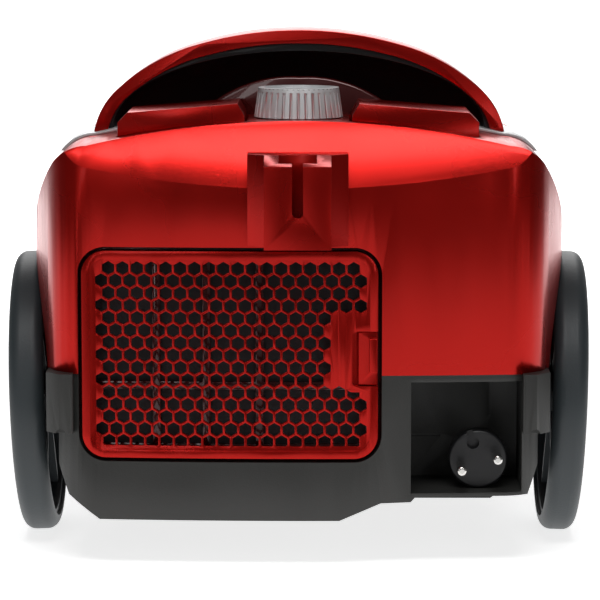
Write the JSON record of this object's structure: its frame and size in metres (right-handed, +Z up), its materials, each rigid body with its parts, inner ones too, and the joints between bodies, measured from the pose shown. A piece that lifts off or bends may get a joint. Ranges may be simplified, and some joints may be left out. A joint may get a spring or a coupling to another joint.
{
  "type": "canister vacuum cleaner",
  "caption": "Bagless canister vacuum cleaner on two large wheels and a front caster, with honeycomb exhaust door, cord reel bay, carry arch and lift-out dust bin.",
  "frame": {"origin": "on the floor under the middle of the bounding box", "axes": "+Z up, +Y the way the canister rolls (hose end), -Y the rear with the exhaust grille, +X right seen from behind"},
  "size_m": [0.3034, 0.41, 0.269],
  "materials": {
    "red_plastic": "glossy metallic-effect red lacquer",
    "grey_plastic": "satin dark grey moulding",
    "black_plastic": "satin black",
    "tyre_rubber": "smooth bluish dark grey",
    "wheel_plastic": "satin dark grey",
    "silver_plastic": "satin silver knob",
    "steel": "bright steel",
    "nickel": "nickel plated plug pins",
    "trim_grey": "light grey gloss",
    "clear_plastic": "clear smoky plastic",
    "filter_foam": "dark filter foam",
    "filter_white": "pale pleated filter",
    "seal_rubber": "soft black rubber",
    "cord_rubber": "black cord sheath",
    "copper": "motor windings",
    "board_green": "circuit board"
  },
  "bodies": {
    "canister": {"base_tray": "grey_plastic", "carry_handle": "red_plastic", "case_screws": "steel", "control_board": "board_green", "cord_grommet": "seal_rubber", "deck_trim": "trim_grey", "exhaust_filter": "filter_foam", "fan_housing": "black_plastic", "filter_carrier": "red_plastic", "filter_chamber": "grey_plastic", "grip_liner": "black_plastic", "hose_inlet": "grey_plastic", "inlet_seal": "seal_rubber", "intake_duct": "grey_plastic", "motor_can": "steel", "motor_cradle": "grey_plastic", "motor_stator": "copper", "nose_cover": "red_plastic", "parking_bracket": "red_plastic", "pedal_pivot_rod": "steel", "rear_housing": "red_plastic", "reel_bracket": "grey_plastic", "reel_shaft": "steel", "reel_spring_case": "grey_plastic", "side_clips": "grey_plastic", "wheel_axles": "steel"},
    "wheel_right": {"tyre_right": "tyre_rubber", "wheel_right": "wheel_plastic", "hub_cap_right": "wheel_plastic"},
    "wheel_left": {"tyre_left": "tyre_rubber", "wheel_left": "wheel_plastic", "hub_cap_left": "wheel_plastic"},
    "caster_swivel": {"caster_fork": "grey_plastic", "caster_axle": "steel"},
    "caster_roller": {"caster_wheel": "tyre_rubber"},
    "rewind_pedal": {"rewind_pedal": "red_plastic"},
    "power_pedal": {"power_pedal": "red_plastic"},
    "knob": {"power_knob": "silver_plastic"},
    "bin_release": {"bin_release": "red_plastic"},
    "grille": {"exhaust_grille": "red_plastic"},
    "grille_latch": {"grille_latch": "red_plastic"},
    "bin": {"dust_bin": "clear_plastic", "cyclone_plate": "black_plastic", "cyclone_shroud": "black_plastic", "cyclone_cone": "black_plastic", "filter_seat": "black_plastic", "pre_filter": "filter_white", "bin_seal": "seal_rubber", "lid_hinge": "grey_plastic"},
    "bin_lid": {"bin_lid": "red_plastic"},
    "plug": {"plug_body": "cord_rubber", "plug_pins": "nickel", "plug_strain_relief": "cord_rubber", "cord_lead": "cord_rubber"},
    "reel": {"cord_reel": "grey_plastic", "wound_cord": "cord_rubber"},
    "motor_rotor": {"motor_shaft": "steel", "motor_armature": "steel", "fan_impeller": "black_plastic"}
  },
  "joints": [
    {"name": "right_wheel_spin", "type": "hinge", "parent": "canister", "child": "wheel_right", "pos_m": [0.1494, -0.075, 0.07476], "axis": [0.9995, 0, -0.0326], "continuous": true},
    {"name": "left_wheel_spin", "type": "hinge", "parent": "canister", "child": "wheel_left", "pos_m": [-0.1494, -0.075, 0.07476], "axis": [-0.9995, 0, -0.0326], "continuous": true},
    {"name": "caster_swivel", "type": "hinge", "parent": "canister", "child": "caster_swivel", "pos_m": [0, 0.14, 0.05], "axis": [0, 0, 1], "continuous": true},
    {"name": "caster_roll", "type": "hinge", "parent": "caster_swivel", "child": "caster_roller", "pos_m": [0, 0.13, 0.018], "axis": [1, 0, 0], "continuous": true},
    {"name": "rewind_pedal_press", "type": "hinge", "parent": "canister", "child": "rewind_pedal", "pos_m": [0, -0.108, 0.213], "axis": [1, 0, 0], "range_deg": [0, 3.5], "stiffness_Nm_per_rad": 6, "springref_deg": -2.86},
    {"name": "power_pedal_press", "type": "hinge", "parent": "canister", "child": "power_pedal", "pos_m": [0, -0.108, 0.213], "axis": [1, 0, 0], "range_deg": [0, 3.5], "stiffness_Nm_per_rad": 6, "springref_deg": -2.86},
    {"name": "knob_turn", "type": "hinge", "parent": "canister", "child": "knob", "pos_m": [0, -0.13, 0.23], "axis": [0, 0, 1], "range_deg": [-135, 135]},
    {"name": "bin_release_press", "type": "slide", "parent": "canister", "child": "bin_release", "axis": [0, 0, -1], "range_m": [0, 0.0018], "stiffness_N_per_m": 800, "springref_m": -0.002},
    {"name": "grille_remove", "type": "slide", "parent": "canister", "child": "grille", "axis": [0, -1, 0], "range_m": [0, 0.05]},
    {"name": "grille_latch_press", "type": "slide", "parent": "grille", "child": "grille_latch", "axis": [-1, 0, 0], "range_m": [0, 0.002], "stiffness_N_per_m": 400, "springref_m": -0.002},
    {"name": "bin_lift", "type": "slide", "parent": "canister", "child": "bin", "axis": [0, 0, 1], "range_m": [0, 0.15]},
    {"name": "bin_lid_swing", "type": "hinge", "parent": "bin", "child": "bin_lid", "pos_m": [0, 0.1752, 0.214], "axis": [-1, 0, 0], "range_deg": [0, 75]},
    {"name": "plug_pull", "type": "slide", "parent": "canister", "child": "plug", "axis": [0, -1, 0], "range_m": [0, 0.06]},
    {"name": "reel_turn", "type": "hinge", "parent": "canister", "child": "reel", "pos_m": [0.084, -0.062, 0.1065], "axis": [-1, 0, 0], "range_deg": [0, 70]},
    {"name": "motor_spin", "type": "hinge", "parent": "canister", "child": "motor_rotor", "pos_m": [-0.036, -0.09, 0.11], "axis": [0, 1, 0], "continuous": true}
  ],
  "couplings": [
    {"joint": "reel_turn", "follows": "plug_pull", "rad_per_m": 18.762}
  ]
}
